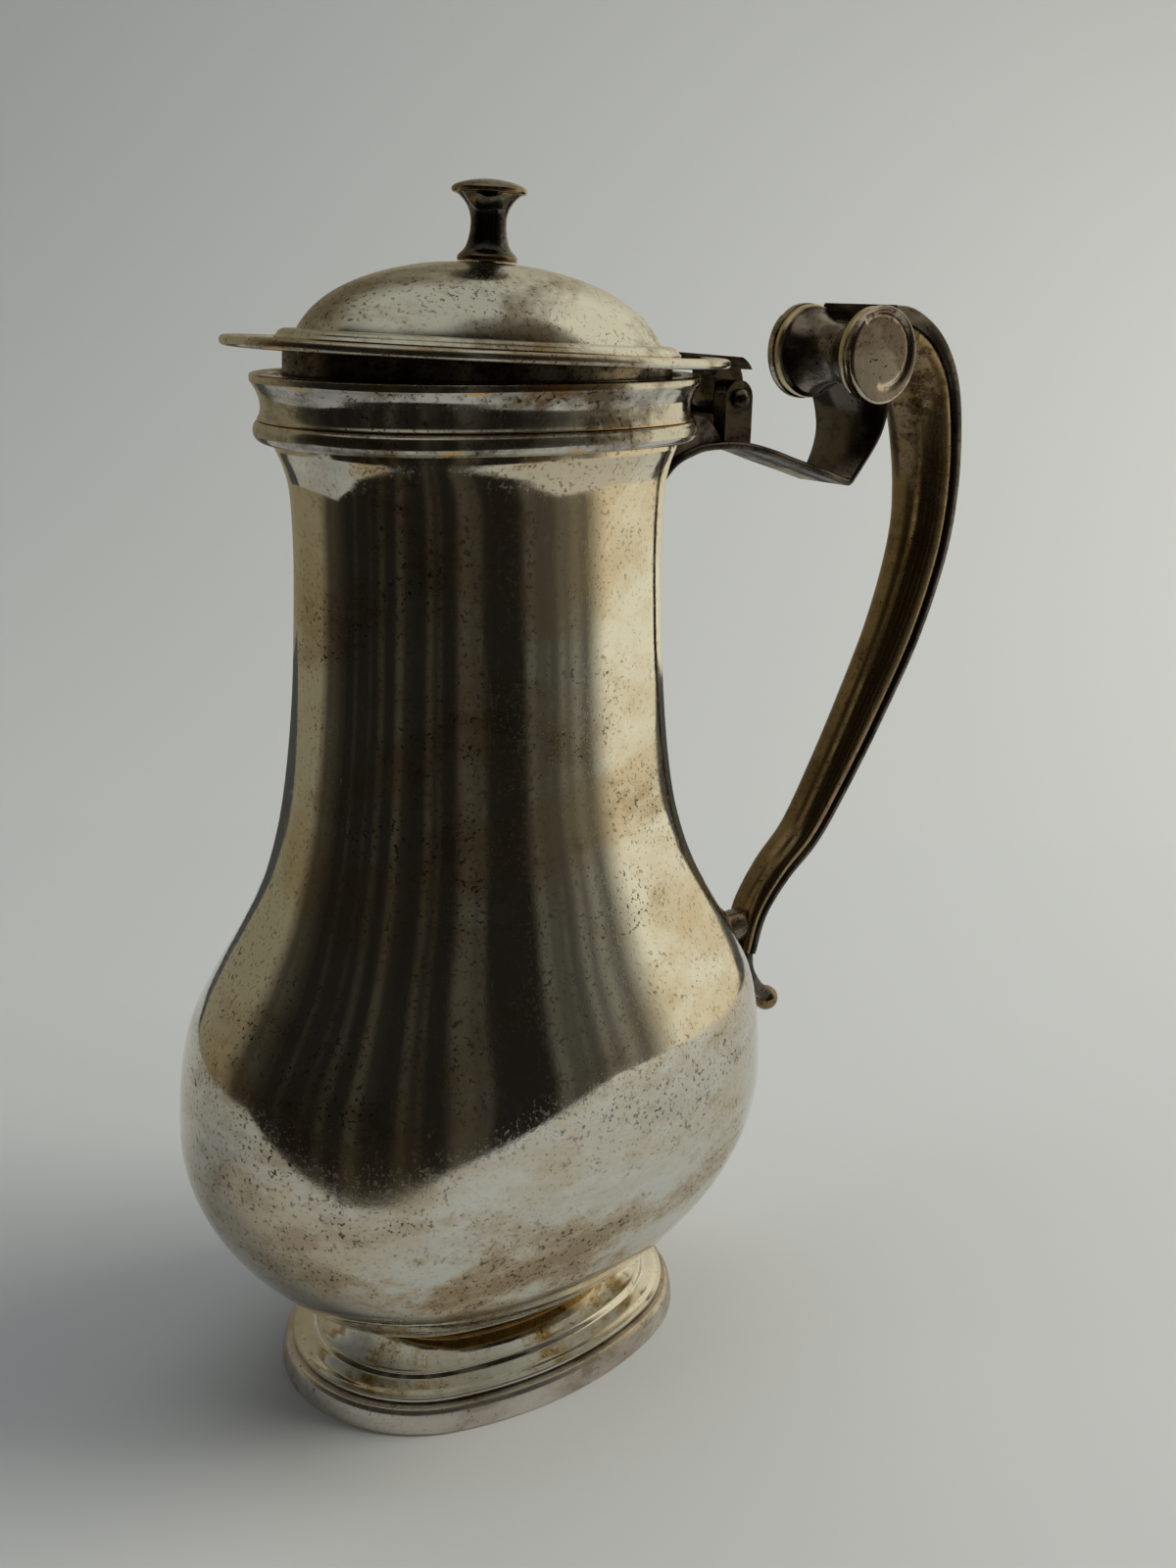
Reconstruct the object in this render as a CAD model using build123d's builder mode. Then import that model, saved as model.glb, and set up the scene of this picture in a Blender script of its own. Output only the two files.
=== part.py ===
from build123d import *
from math import atan2, degrees
import os

# Overall sizes in millimetres
oval_ratio = 0.715          # half width over half length of the raised body
end_fullness = 0.92         # end radius over half width
sheet = 1.2                 # wall of the raised sheet
joint_gap = 0.02            # solder film between soldered pieces

foot_half_length = 42.5
foot_half_width = 30.8
foot_band_height = 5.2
foot_top = 13.0

belly_half_length = 60.0
belly_height = 54.0
waist_half_length = 35.0
neck_height = 150.0
neck_outer = 37.4           # half length inside the lip moulding

lip_top = 190.2
lip_half_length = 40.9
rim_bottom = lip_top - 7.6
bead_bottom = rim_bottom - 3.8
neck_flare_height = lip_top - 12.2
mouth_height = lip_top - 0.8

lid_overhang = 4.9
lid_gap = 0.4               # between the lip and the shut lid
flange_bottom = lip_top + lid_gap
flange_thickness = 1.8
dome_top = flange_bottom + 15.6
finial_height = 13.2
finial_top = dome_top + finial_height
lid_ajar = 2.3              # degrees, how far the lid stands open at rest
bezel_clearance = 0.6

pin_x = 54.0
pin_z = lip_top - 5.2
pin_radius = 1.2
knuckle_clearance = 0.05
leaf_half_width = 3.3
leaf_side_gap = 0.3
ear_thickness = 3.4

volute_x = 88.2
volute_z = lip_top + 2.6
volute_radius = 9.6
volute_half_width = 12.0
volute_plate = 1.8
volute_flange = 2.4

strap_thickness = 1.4
strap_half_width = 7.5

hinge_axis = Axis((pin_x, 0, pin_z), (0, 1, 0))


def oval(half_length, half_width, end_radius):
    """Four tangent arcs that close an oval, drawn from its +X tip."""
    a, b, r = half_length, half_width, end_radius
    side = ((a * a + b * b) / 2 - a * r) / (b - r)
    turn = degrees(atan2(side - b, a - r))
    CenterArc((a - r, 0), r, 0, turn)
    CenterArc((0, b - side), side, turn, 180 - 2 * turn)
    CenterArc((r - a, 0), r, 180 - turn, 2 * turn)
    CenterArc((0, side - b), side, 180 + turn, 180 - 2 * turn)
    CenterArc((a - r, 0), r, 360 - turn, turn)


def oval_face(height, half_length, half_width, end_radius):
    """Flat oval at a height, its four arcs meeting where the radius changes."""
    a, b, r = half_length, half_width, end_radius
    side = ((a * a + b * b) / 2 - a * r) / (b - r)
    turn = degrees(atan2(side - b, a - r))
    with BuildSketch(Plane.XY.offset(height)) as face:
        with BuildLine():
            CenterArc((0, b - side), side, turn, 180 - 2 * turn)
            CenterArc((r - a, 0), r, 180 - turn, 2 * turn)
            CenterArc((0, side - b), side, 180 + turn, 180 - 2 * turn)
            CenterArc((a - r, 0), r, -turn, 2 * turn)
        make_face()
    return face.sketch


def scaled_section(height, half_length, inset=0.0):
    """Oval face of the raised body at one height, drawn inside the wall by inset."""
    half_width = half_length * oval_ratio
    return oval_face(height, half_length - inset, half_width - inset,
                     half_width * end_fullness - inset)


def offset_section(height, half_length, half_width, outset):
    """Oval face at an even distance from a master oval."""
    return oval_face(height, half_length + outset, half_width + outset,
                     half_width * end_fullness + outset)


# Profile of the body along its long side, foot joint to mouth
with BuildLine() as body_profile:
    body_curve = Spline(
        (28.0, foot_top),
        (46.6, 26.0),
        (belly_half_length, belly_height),
        (54.9, 79.5),
        (43.2, 98.5),
        (37.6, 118.0),
        (waist_half_length, neck_height),
        (35.0, 170.0),
        (neck_outer, neck_flare_height),
    )


def body_stations(count):
    """Points at even steps along the body profile."""
    return [body_curve @ (step / count) for step in range(count + 1)]


# Outer skin of the body, kept as a tool for the pieces soldered on it
with BuildPart() as body_skin:
    for point in body_stations(18):
        add(scaled_section(point.Y, point.X))
    loft()
    add(scaled_section(neck_flare_height, neck_outer))
    extrude(amount=mouth_height - neck_flare_height)

with BuildPart() as body_room:
    for point in body_stations(18)[1:]:
        add(scaled_section(point.Y, point.X, sheet))
    loft()
    add(scaled_section(neck_flare_height, neck_outer, sheet))
    extrude(amount=mouth_height - neck_flare_height)

with BuildPart() as body_shell:
    add(body_skin.part)
    add(body_room.part, mode=Mode.SUBTRACT)


def half_length_at(height):
    """Half length of the body at a height, found on its profile."""
    low, high = 0.0, 1.0
    for _ in range(40):
        middle = (low + high) / 2
        if (body_curve @ middle).Y < height:
            low = middle
        else:
            high = middle
    return (body_curve @ low).X


def body_cutter(bottom, top, steps):
    """Plain solid that stands for a stretch of the body when pieces are trimmed to it."""
    with BuildPart() as cutter:
        for step in range(steps + 1):
            height = bottom + (top - bottom) * step / steps
            add(scaled_section(height, half_length_at(height) + 5 * joint_gap))
        loft(ruled=True)
    return cutter.part


neck_cutter = body_cutter(160.0, neck_flare_height, 9)
belly_cutter = body_cutter(55.0, 85.0, 12)


def ring(path_half_length, path_half_width, path_end_radius):
    """Sweep the pending profile once round an oval."""
    with BuildLine() as path:
        oval(path_half_length, path_half_width, path_end_radius)
    sweep(path=path.wires()[0])


neck_width = neck_outer * oval_ratio
lip_half_width = neck_width + lip_half_length - neck_outer

# Hollow-moulded lip round the mouth, its profile given outward from the neck
rim_out = lip_half_length - neck_outer
with BuildPart() as rim_band:
    with BuildSketch(Plane.XZ):
        with BuildLine():
            Polyline((neck_outer + joint_gap, rim_bottom), (neck_outer + joint_gap, lip_top),
                     (neck_outer + rim_out - 0.5, lip_top))
            ThreePointArc((neck_outer + rim_out - 0.5, lip_top),
                          (neck_outer + rim_out, lip_top - 0.6),
                          (neck_outer + rim_out - 0.5, lip_top - 1.2))
            ThreePointArc((neck_outer + rim_out - 0.5, lip_top - 1.2),
                          (neck_outer + 2.3, rim_bottom + 4.0),
                          (neck_outer + 2.0, rim_bottom + 1.4))
            Line((neck_outer + 2.0, rim_bottom + 1.4), (neck_outer + 2.6, rim_bottom))
            Line((neck_outer + 2.6, rim_bottom), (neck_outer + joint_gap, rim_bottom))
        make_face()
    ring(neck_outer, neck_width, neck_width * end_fullness)

# Half-round wire under the lip moulding
with BuildPart() as rim_bead:
    with BuildSketch(Plane.XZ):
        with BuildLine():
            Line((neck_outer + joint_gap, bead_bottom), (neck_outer + joint_gap, rim_bottom - joint_gap))
            Line((neck_outer + joint_gap, rim_bottom - joint_gap), (neck_outer + 2.6, rim_bottom - joint_gap))
            ThreePointArc((neck_outer + 2.6, rim_bottom - joint_gap), (neck_outer + 3.3, bead_bottom + 2.1),
                          (neck_outer + 1.9, bead_bottom + 0.2))
            Line((neck_outer + 1.9, bead_bottom + 0.2), (neck_outer + joint_gap, bead_bottom))
        make_face()
    ring(neck_outer, neck_width, neck_width * end_fullness)

def cove_section(height, less_length, less_width):
    """Oval of the foot at a height, drawn in from the foot's own outline."""
    half_width = foot_half_width - less_width
    return oval_face(height, foot_half_length - less_length, half_width,
                     half_width * end_fullness)


# Concave foot with its fillet and ridge, hollow under
with BuildPart() as foot_cove:
    add(offset_section(foot_band_height, foot_half_length, foot_half_width, -2.2))
    add(offset_section(6.6, foot_half_length, foot_half_width, -3.0))
    loft(ruled=True)
    add(offset_section(6.6, foot_half_length, foot_half_width, -3.0))
    add(offset_section(7.4, foot_half_length, foot_half_width, -5.2))
    loft(ruled=True)
    add(offset_section(7.4, foot_half_length, foot_half_width, -5.2))
    add(offset_section(8.4, foot_half_length, foot_half_width, -6.8))
    loft(ruled=True)
    add(cove_section(8.4, 7.5, 7.2))
    add(cove_section(10.0, 11.9, 10.0))
    add(cove_section(foot_top - 0.8, 14.1, 10.8))
    loft()
    add(cove_section(foot_band_height, 4.9, 4.8))
    add(cove_section(7.6, 9.5, 9.0))
    loft(ruled=True, mode=Mode.SUBTRACT)
    add(cove_section(7.6, 13.9, 12.0))
    add(cove_section(foot_top - 0.8, 16.1, 13.2))
    loft(ruled=True, mode=Mode.SUBTRACT)

# Thin bead between the belly and the foot
with BuildPart() as foot_collar:
    with BuildSketch(Plane.XZ):
        with BuildLine():
            Polyline((25.4, foot_top - 0.8 + joint_gap), (25.4, foot_top - joint_gap),
                     (28.6, foot_top - joint_gap))
            ThreePointArc((28.6, foot_top - joint_gap), (29.0, foot_top - 0.4),
                          (28.6, foot_top - 0.8 + joint_gap))
            Line((28.6, foot_top - 0.8 + joint_gap), (25.4, foot_top - 0.8 + joint_gap))
        make_face()
    ring(28.0, 28.0 * oval_ratio, 28.0 * oval_ratio * end_fullness)

# Strip round the bottom of the foot
with BuildPart() as foot_base_band:
    with BuildSketch(Plane.XZ):
        with BuildLine():
            Polyline((foot_half_length - 3.4, 0), (foot_half_length - 0.3, 0),
                     (foot_half_length, 0.5), (foot_half_length - 0.9, 4.5),
                     (foot_half_length - 1.7, foot_band_height - joint_gap),
                     (foot_half_length - 4.6, foot_band_height - joint_gap),
                     (foot_half_length - 4.6, 3.8), (foot_half_length - 3.4, 0))
        make_face()
    ring(foot_half_length, foot_half_width, foot_half_width * end_fullness)

# Waisted spool inside the volute
spool_plane = Plane(origin=(volute_x, 0, volute_z), x_dir=(1, 0, 0), z_dir=(0, 0, 1))
with BuildPart() as volute_core:
    with BuildSketch(spool_plane):
        with BuildLine():
            inside = volute_half_width - volute_plate - joint_gap
            rim, waist = volute_radius - 0.2, inside - volute_flange
            Polyline((rim - 0.6, -waist), (rim, -waist - 0.6), (rim, -inside), (0, -inside),
                     (0, inside), (rim, inside), (rim, waist + 0.6), (rim - 0.6, waist))
            ThreePointArc((rim - 0.6, waist), (volute_radius - 3.6, 0), (rim - 0.6, -waist))
        make_face()
    revolve(axis=Axis((volute_x, 0, volute_z), (0, 1, 0)))


def volute_end(side):
    """Round end plate with the curl of the scroll cut in its outer face."""
    face = Plane(origin=(volute_x, side * (volute_half_width - volute_plate), volute_z),
                 x_dir=(1, 0, 0), z_dir=(0, side, 0))
    outer = face.offset(volute_plate)
    with BuildPart() as plate:
        with BuildSketch(face):
            Circle(volute_radius)
        extrude(amount=volute_plate)
        fillet(plate.edges().filter_by(GeomType.CIRCLE).group_by(Axis.Y)[-1 if side > 0 else 0], 0.5)
        with BuildSketch(outer):
            with BuildLine():
                CenterArc((0.6, 0), volute_radius - 2.6, -60, 60)
                CenterArc((-0.4, 0), volute_radius - 1.6, 0, 120)
            trace(line_width=0.7)
        extrude(amount=-0.7, mode=Mode.SUBTRACT)
    return plate


volute_near_end = volute_end(-1)
volute_far_end = volute_end(1)

# Strap from the neck to the volute: level run, V bend, then the flared rise
with BuildPart() as handle_strap:
    with BuildSketch(Plane.XZ):
        with BuildLine():
            half = strap_thickness / 2
            run = ((34.0, 169.6), (38.6, 173.8), (47.0, 176.3), (55.7, 176.1), (70.0, 172.3),
                   (86.6, 167.4))
            top = Spline(*[(x, z + half) for x, z in run])
            bottom = Spline(*[(x, z - half) for x, z in run])
            Line(top @ 0, bottom @ 0)
            Line(top @ 1, bottom @ 1)
        make_face()
    extrude(amount=strap_half_width, both=True)
    with BuildPart(mode=Mode.PRIVATE) as rise:
        with BuildSketch(Plane.XZ):
            with BuildLine():
                rising = ((86.0, 167.3), (90.4, 173.0), (92.2, 179.0), (90.8, 187.0))
                left = Spline(*[(x - half, z + half * 0.4) for x, z in rising])
                right = Spline(*[(x + half, z - half * 0.4) for x, z in rising])
                Line(left @ 0, right @ 0)
                Line(left @ 1, right @ 1)
            make_face()
        extrude(amount=volute_half_width, both=True)
        with BuildSketch(Plane.YZ.offset(70)):
            with BuildLine():
                Polyline((-strap_half_width, 160), (-strap_half_width, 167), (-8.6, 172),
                         (-volute_half_width + 0.6, 182), (-volute_half_width + 0.6, 195),
                         (volute_half_width - 0.6, 195), (volute_half_width - 0.6, 182),
                         (8.6, 172), (strap_half_width, 167), (strap_half_width, 160),
                         close=True)
            make_face()
        extrude(amount=40, mode=Mode.INTERSECT)
    add(rise.part)
    add(neck_cutter, mode=Mode.SUBTRACT)
    add(volute_core.part, mode=Mode.SUBTRACT)
    add(volute_near_end.part, mode=Mode.SUBTRACT)
    add(volute_far_end.part, mode=Mode.SUBTRACT)
strap_lumps = handle_strap.part.solids().sort_by(SortBy.VOLUME)
with BuildPart() as handle_strap:
    add(strap_lumps[-1])

# Handle bar: sections set square to one curve from the volute down to the waist
with BuildLine() as bar_line:
    bar_curve = Spline(
        (89.0, 197.0), (97.5, 196.6), (105.4, 192.8), (110.8, 186.4), (114.0, 177.0),
        (115.8, 164.0), (114.8, 151.0), (109.0, 133.5), (99.7, 115.5), (91.6, 101.6),
        (84.2, 90.6), (76.3, 83.3), (70.3, 75.2), (67.9, 66.0),
    )

bar_widths = (20.0, 13.0, 7.6)      # at the volute, a third of the way down and at the waist
bar_thicknesses = (11.0, 9.4, 3.8)
strip_thicknesses = (3.4, 1.5)
bar_steps = 18


def bar_plane(step):
    """Plane square to the bar: x across the bar, y outward from the hand side."""
    at = step / bar_steps
    origin = bar_curve @ at
    tangent = bar_curve % at
    return Plane(origin=(origin.X, 0, origin.Y), x_dir=(0, 1, 0),
                 z_dir=(tangent.X, 0, tangent.Y))


def bar_size(step):
    """Half width and half thickness of the bar at a step, and its strip's thickness."""
    at = step / bar_steps
    upper, lower = min(1.0, at / 0.34), max(0.0, (at - 0.34) / 0.66)
    width = bar_widths[0] + (bar_widths[1] - bar_widths[0]) * upper ** 0.8
    width += (bar_widths[2] - bar_widths[1]) * lower
    thick = bar_thicknesses[0] + (bar_thicknesses[1] - bar_thicknesses[0]) * upper
    thick += (bar_thicknesses[2] - bar_thicknesses[1]) * lower ** 1.6
    strip = strip_thicknesses[0] + (strip_thicknesses[1] - strip_thicknesses[0]) * at ** 0.7
    return width / 2, thick / 2, strip


with BuildPart() as handle_grip:
    for step in range(bar_steps + 1):
        half_width, half_thick, strip = bar_size(step)
        flat = half_thick - strip - 3 * joint_gap
        with BuildSketch(bar_plane(step)):
            with BuildLine():
                Line((-half_width + 0.5, flat), (half_width - 0.5, flat))
                Line((half_width - 0.5, flat), (half_width, flat - 0.5 * half_thick))
                ThreePointArc((half_width, flat - 0.5 * half_thick), (0, -half_thick),
                              (-half_width, flat - 0.5 * half_thick))
                Line((-half_width, flat - 0.5 * half_thick), (-half_width + 0.5, flat))
            make_face()
    loft()
    add(volute_core.part, mode=Mode.SUBTRACT)

with BuildPart() as handle_back_strip:
    for step in range(bar_steps + 1):
        half_width, half_thick, strip = bar_size(step)
        with BuildSketch(bar_plane(step)):
            with Locations((0, half_thick - strip / 2)):
                Rectangle(2 * half_width + 0.4, strip)
    loft()
    add(volute_core.part, mode=Mode.SUBTRACT)

# Small outward curl with a ball end, below the waist
with BuildLine() as tail_line:
    tail_curve = Spline((67.9, 66.0 - 3 * joint_gap), (69.8, 59.6), (75.8, 53.2),
                        tangents=((-0.1, -1.0), (0.8, -0.7)))
with BuildPart() as handle_tail:
    for step in range(4):
        at = step / 3
        origin = tail_curve @ at
        tangent = tail_curve % at
        with BuildSketch(Plane(origin=(origin.X, 0, origin.Y), x_dir=(0, 1, 0),
                               z_dir=(tangent.X, 0, tangent.Y))):
            RectangleRounded(bar_widths[-1] - 2.4 * at, bar_thicknesses[-1] - 0.6 * at, 1.2)
    loft()
    with Locations((77.2, 0, 51.6)):
        Sphere(2.8)
    add(handle_grip.part, mode=Mode.SUBTRACT)
    add(handle_back_strip.part, mode=Mode.SUBTRACT)

# Stem and pad that hold the lower end of the handle off the belly
lug_height = 70.0
with BuildPart() as pad_blank:
    with BuildSketch(Plane.YZ.offset(57)):
        with Locations((0, lug_height)):
            Ellipse(7.0, 8.8)
    with BuildSketch(Plane.YZ.offset(60.9)):
        with Locations((0, lug_height)):
            Ellipse(6.0, 7.8)
    loft()
with BuildPart() as lug_pad:
    add(pad_blank.part)
    add(belly_cutter, mode=Mode.SUBTRACT)
with BuildPart() as handle_lug:
    with BuildSketch(Plane.YZ.offset(60.9 + joint_gap)):
        with Locations((0, lug_height + 1.2)):
            Ellipse(3.4, 4.4)
    with BuildSketch(Plane.YZ.offset(70.0)):
        with Locations((0, lug_height + 1.8)):
            Ellipse(3.0, 3.6)
    loft()
    add(handle_grip.part, mode=Mode.SUBTRACT)
    add(handle_back_strip.part, mode=Mode.SUBTRACT)
lug_lumps = handle_lug.part.solids().sort_by(Axis.X)
with BuildPart() as handle_lug:
    add(lug_lumps[0])

# Hinge block with two ears
ear_inner = leaf_half_width + leaf_side_gap
ear_outer = ear_inner + ear_thickness
with BuildPart() as hinge_bracket:
    with BuildSketch(Plane.XZ):
        with BuildLine():
            Polyline((50.6, 173.0), (50.6, pin_z), (57.4, pin_z), (57.4, 173.0), close=True)
        make_face()
        with Locations((pin_x, pin_z)):
            Circle(3.4)
    extrude(amount=ear_outer, both=True)
    with BuildSketch(Plane.XZ):
        with Locations((pin_x, pin_z + 5)):
            Rectangle(20, 22)
    extrude(amount=ear_inner, both=True, mode=Mode.SUBTRACT)
    with BuildSketch(Plane.XZ):
        with Locations((pin_x, pin_z)):
            Circle(pin_radius)
    extrude(amount=ear_outer + 1, both=True, mode=Mode.SUBTRACT)
    add(handle_strap.part, mode=Mode.SUBTRACT)
bracket_lumps = hinge_bracket.part.solids().sort_by(Axis.Z)
with BuildPart() as hinge_bracket:
    add(bracket_lumps[-1])

# Pin pressed in the ears, with a peened head at each end
with BuildPart() as hinge_pin:
    with BuildSketch(Plane.XZ):
        with Locations((pin_x, pin_z)):
            Circle(pin_radius)
    extrude(amount=ear_outer + 0.1, both=True)
    with Locations((pin_x, -ear_outer - joint_gap, pin_z), (pin_x, ear_outer + joint_gap, pin_z)):
        Sphere(1.9)
    with Locations((pin_x, 0, pin_z)):
        Box(8, 2 * (ear_outer + joint_gap), 8, mode=Mode.PRIVATE)
    with BuildSketch(Plane.XZ):
        with Locations((pin_x, pin_z)):
            Circle(4)
            Circle(pin_radius, mode=Mode.SUBTRACT)
    extrude(amount=ear_outer + joint_gap, both=True, mode=Mode.SUBTRACT)

# Rough solder between the bracket, the strap and the rim bead
with BuildPart() as hinge_solder:
    with BuildSketch(Plane.XZ):
        with BuildLine():
            Spline((38.0, 172.0), (39.0, 178.4), (43.2, 182.0), (48.2, 180.0),
                   (50.6 - joint_gap, 176.0), (46.0, 172.0), periodic=True)
        make_face()
    extrude(amount=6.4, both=True)
    add(neck_cutter, mode=Mode.SUBTRACT)
    add(rim_bead.part, mode=Mode.SUBTRACT)
    add(handle_strap.part, mode=Mode.SUBTRACT)
    add(hinge_bracket.part, mode=Mode.SUBTRACT)
solder_lumps = hinge_solder.part.solids().sort_by(Axis.Z)
with BuildPart() as hinge_solder:
    add(solder_lumps[-1])

# Lid flange, flat with an edge roll
flange_half_length = lip_half_length + lid_overhang
flange_half_width = lip_half_width + lid_overhang
flange_radius = neck_width * end_fullness + lip_half_length - neck_outer + lid_overhang
flange_top = flange_bottom + flange_thickness
step_inset = 9.0
with BuildPart() as lid_flange:
    with BuildSketch(Plane.XZ):
        with BuildLine():
            Polyline((flange_half_length - 11.0, flange_bottom),
                     (flange_half_length - 0.8, flange_bottom))
            ThreePointArc((flange_half_length - 0.8, flange_bottom),
                          (flange_half_length, flange_bottom + flange_thickness / 2),
                          (flange_half_length - 0.8, flange_top))
            Polyline((flange_half_length - 0.8, flange_top), (flange_half_length - 2.0, flange_top),
                     (flange_half_length - 2.6, flange_top - 0.4),
                     (flange_half_length - 11.0, flange_top - 0.4),
                     (flange_half_length - 11.0, flange_bottom))
        make_face()
    ring(flange_half_length, flange_half_width, flange_radius)

# Stepped moulding on the flange
step_bottom = flange_top - 0.4 + joint_gap
with BuildPart() as lid_step:
    with BuildSketch(Plane.XZ):
        with BuildLine():
            edge = flange_half_length - step_inset
            Polyline((edge - 3.0, step_bottom), (edge + 0.4, step_bottom), (edge + 0.4, step_bottom + 0.6))
            ThreePointArc((edge + 0.4, step_bottom + 0.6), (edge - 0.2, step_bottom + 1.5),
                          (edge - 1.2, step_bottom + 1.9))
            Polyline((edge - 1.2, step_bottom + 1.9), (edge - 3.0, step_bottom + 1.9),
                     (edge - 3.0, step_bottom))
        make_face()
    ring(flange_half_length, flange_half_width, flange_radius)

# Raised dome, set inside the stepped moulding
dome_half_length = flange_half_length - step_inset - 3.0 - joint_gap
dome_half_width = flange_half_width - step_inset - 3.0 - joint_gap
dome_radius = flange_radius - step_inset - 3.0 - joint_gap


def dome_section(height, share, inset):
    """Oval of the dome at a height, as a share of its foot oval."""
    half_width = dome_half_width * (0.75 * share + 0.25 * share ** 0.5)
    return oval_face(height, dome_half_length * share - inset, half_width - inset,
                     dome_radius * share - inset)


dome_foot = step_bottom
dome_rise = dome_top - dome_foot
dome_shares = (1.0, 0.985, 0.90, 0.74, 0.54, 0.32, 0.14)
dome_levels = (0.0, 0.17, 0.42, 0.66, 0.85, 0.96, 1.0)
with BuildPart() as dome_skin:
    for share, level in zip(dome_shares, dome_levels):
        add(dome_section(dome_foot + dome_rise * level, share, 0.0))
    loft()
with BuildPart() as lid_dome:
    add(dome_skin.part)
    for share, level in zip(dome_shares[:-1], dome_levels[:-1]):
        add(dome_section(dome_foot + (dome_rise - sheet) * level, share, sheet))
    loft(mode=Mode.SUBTRACT)
    with BuildSketch(Plane.XY.offset(dome_foot)):
        Circle(1.7)
    extrude(amount=dome_rise + 2, mode=Mode.SUBTRACT)

# Upright ring inside the mouth
bezel_half_length = neck_outer - sheet - bezel_clearance
bezel_half_width = neck_width - sheet - bezel_clearance
bezel_radius = neck_width * end_fullness - sheet - bezel_clearance
with BuildPart() as lid_bezel:
    with BuildSketch(Plane.XZ):
        with Locations((bezel_half_length - 0.5, flange_bottom - joint_gap - 2.4)):
            Rectangle(1.0, 4.8)
    ring(bezel_half_length, bezel_half_width, bezel_radius)

washer_bottom = dome_top - sheet - 2.2
# Turned knob with a stud, its cap, and the washer and nut inside
with BuildPart() as finial_knob:
    with BuildSketch(Plane.XZ):
        with BuildLine():
            Polyline((0, dome_top - 6.2), (1.5, dome_top - 6.2), (1.5, dome_top + joint_gap),
                     (5.1, dome_top + joint_gap), (5.1, dome_top + 1.0), (4.2, dome_top + 2.0))
            Spline((4.2, dome_top + 2.0), (3.0, dome_top + 6.4), (5.6, finial_top - 2.4),
                   tangents=((-0.5, 1.0), (1.0, 0.7)))
            Polyline((5.6, finial_top - 2.4), (0, finial_top - 2.4), (0, dome_top - 6.2))
        make_face()
    revolve(axis=Axis.Z)
with BuildPart() as finial_cap:
    with BuildSketch(Plane.XZ):
        with BuildLine():
            base = finial_top - 2.4 + joint_gap
            Polyline((0.6, finial_top), (0, finial_top), (0, base), (5.9, base))
            ThreePointArc((5.9, base), (6.4, base + 0.5), (6.0, base + 1.0))
            ThreePointArc((6.0, base + 1.0), (3.4, finial_top - 0.35), (0.6, finial_top))
        make_face()
    revolve(axis=Axis.Z)
with BuildPart() as finial_washer:
    with BuildSketch(Plane.XY.offset(washer_bottom)):
        Circle(3.6)
        Circle(1.6, mode=Mode.SUBTRACT)
    extrude(amount=0.8)
with BuildPart() as finial_nut:
    with BuildSketch(Plane.XY.offset(washer_bottom - joint_gap - 2.0)):
        RegularPolygon(3.2, 6)
        Circle(1.5 + joint_gap, mode=Mode.SUBTRACT)
    extrude(amount=2.0)

# Tab on the flange with the middle knuckle
with BuildPart() as lid_leaf:
    with BuildSketch(Plane.XZ):
        with BuildLine():
            Polyline((flange_half_length - 6.0, flange_top - 0.4 + joint_gap),
                     (flange_half_length - 6.0, flange_top + 0.6), (54.4, flange_top + 0.2))
            ThreePointArc((54.4, flange_top + 0.2), (57.0, pin_z + 5.6), (57.5, pin_z))
            Line((57.5, pin_z), (pin_x - 3.3, pin_z))
            Line((pin_x - 3.3, pin_z), (pin_x - 3.3, pin_z + 4.6))
            Polyline((pin_x - 3.3, pin_z + 4.6), (flange_half_length + 0.6, flange_bottom),
                     (flange_half_length + 0.1, flange_bottom + 0.4),
                     (flange_half_length + 0.1, flange_top + joint_gap),
                     (flange_half_length - 2.1, flange_top + joint_gap),
                     (flange_half_length - 2.8, flange_top - 0.4 + joint_gap),
                     (flange_half_length - 6.0, flange_top - 0.4 + joint_gap))
        make_face()
        with Locations((pin_x, pin_z)):
            Circle(3.4)
    extrude(amount=6.6, both=True)
    for side in (-1, 1):
        with BuildSketch(Plane.XZ.offset(-side * leaf_half_width)):
            with Locations((pin_x, pin_z - 2.1)):
                Rectangle(12, 15)
        extrude(amount=-side * 8, mode=Mode.SUBTRACT)
    with BuildSketch(Plane.XZ):
        with Locations((pin_x, pin_z)):
            Circle(pin_radius + knuckle_clearance)
    extrude(amount=8, both=True, mode=Mode.SUBTRACT)
    add(lid_flange.part, mode=Mode.SUBTRACT)

pieces = {
    "body_shell": body_shell,
    "rim_band": rim_band,
    "rim_bead": rim_bead,
    "foot_collar": foot_collar,
    "foot_cove": foot_cove,
    "foot_base_band": foot_base_band,
    "hinge_bracket": hinge_bracket,
    "hinge_pin": hinge_pin,
    "hinge_solder": hinge_solder,
    "handle_strap": handle_strap,
    "volute_core": volute_core,
    "volute_near_end": volute_near_end,
    "volute_far_end": volute_far_end,
    "handle_grip": handle_grip,
    "handle_back_strip": handle_back_strip,
    "handle_tail": handle_tail,
    "handle_lug": handle_lug,
    "lug_pad": lug_pad,
    "lid_flange": lid_flange,
    "lid_step": lid_step,
    "lid_dome": lid_dome,
    "lid_bezel": lid_bezel,
    "finial_knob": finial_knob,
    "finial_cap": finial_cap,
    "finial_washer": finial_washer,
    "finial_nut": finial_nut,
    "lid_leaf": lid_leaf,
}
lid_pieces = ("lid_flange", "lid_step", "lid_dome", "lid_bezel", "finial_knob",
              "finial_cap", "finial_washer", "finial_nut", "lid_leaf")

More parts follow.
